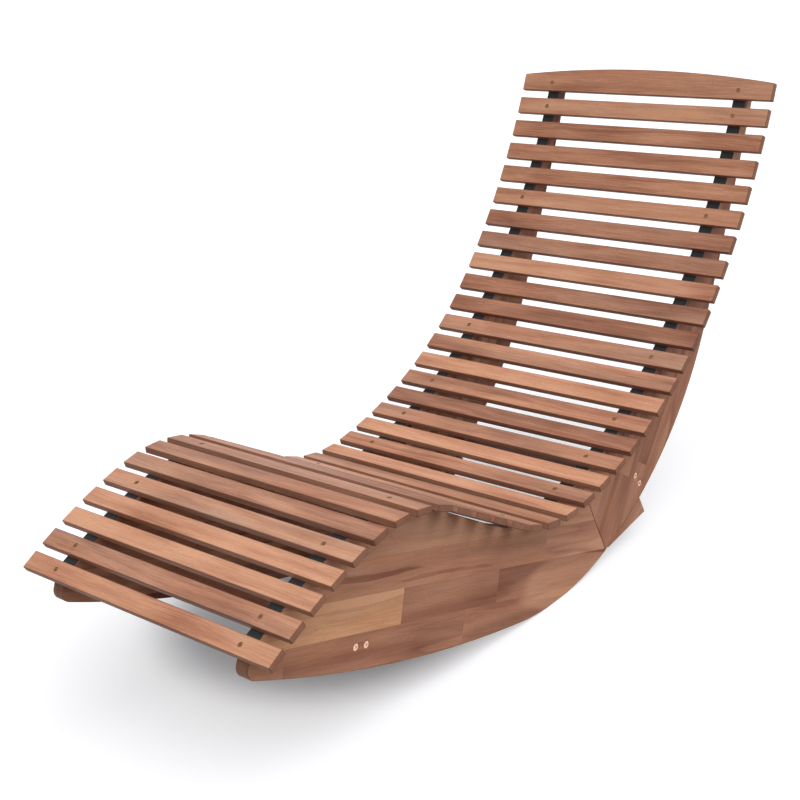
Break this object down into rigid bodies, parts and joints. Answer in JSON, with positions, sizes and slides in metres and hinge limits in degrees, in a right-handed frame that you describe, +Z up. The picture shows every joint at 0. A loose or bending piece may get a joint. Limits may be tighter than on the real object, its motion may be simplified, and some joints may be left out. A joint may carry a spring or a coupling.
{
  "type": "rocking chaise lounge",
  "caption": "Wooden rocking lounger: a reclining slat mat follows a calf rest, seat dip and tall back on two curved side panels whose undersides are rockers.",
  "frame": {"origin": "on the floor under the middle of the bounding box, at the level of the rockers' lowest points", "axes": "+Z up, +X to the right of the person lying on it, +Y from the foot end to the head end, at rest"},
  "size_m": [0.6, 1.4877, 0.7964],
  "materials": {
    "acacia_slats": "oiled satin",
    "acacia_panels": "oiled satin",
    "acacia_stretchers": "oiled satin",
    "black_webbing": "woven",
    "brass_screws": "satin",
    "yellow_zinc_bolts": "plated",
    "zinc_barrel_nuts": "plated",
    "beech_dowels": "raw"
  },
  "bodies": {
    "root": {"slat_01": "acacia_slats", "slat_02": "acacia_slats", "slat_03": "acacia_slats", "slat_04": "acacia_slats", "slat_05": "acacia_slats", "slat_06": "acacia_slats", "slat_07": "acacia_slats", "slat_08": "acacia_slats", "slat_09": "acacia_slats", "slat_10": "acacia_slats", "slat_11": "acacia_slats", "slat_12": "acacia_slats", "slat_13": "acacia_slats", "slat_14": "acacia_slats", "slat_15": "acacia_slats", "slat_16": "acacia_slats", "slat_17": "acacia_slats", "slat_18": "acacia_slats", "slat_19": "acacia_slats", "slat_20": "acacia_slats", "slat_21": "acacia_slats", "slat_22": "acacia_slats", "slat_23": "acacia_slats", "slat_24": "acacia_slats", "slat_25": "acacia_slats", "slat_26": "acacia_slats", "slat_27": "acacia_slats", "slat_28": "acacia_slats", "slat_29": "acacia_slats", "slat_30": "acacia_slats", "slat_31": "acacia_slats", "slat_32": "acacia_slats", "slat_33": "acacia_slats", "slat_34": "acacia_slats", "slat_35": "acacia_slats", "left_base_panel": "acacia_panels", "right_base_panel": "acacia_panels", "left_back_panel": "acacia_panels", "right_back_panel": "acacia_panels", "left_tail_block": "acacia_panels", "right_tail_block": "acacia_panels", "front_stretcher": "acacia_stretchers", "rear_stretcher": "acacia_stretchers", "left_strap": "black_webbing", "right_strap": "black_webbing", "slat_screws": "brass_screws", "stretcher_bolts": "yellow_zinc_bolts", "barrel_nuts": "zinc_barrel_nuts", "seam_dowels": "beech_dowels"}
  },
  "joints": []
}
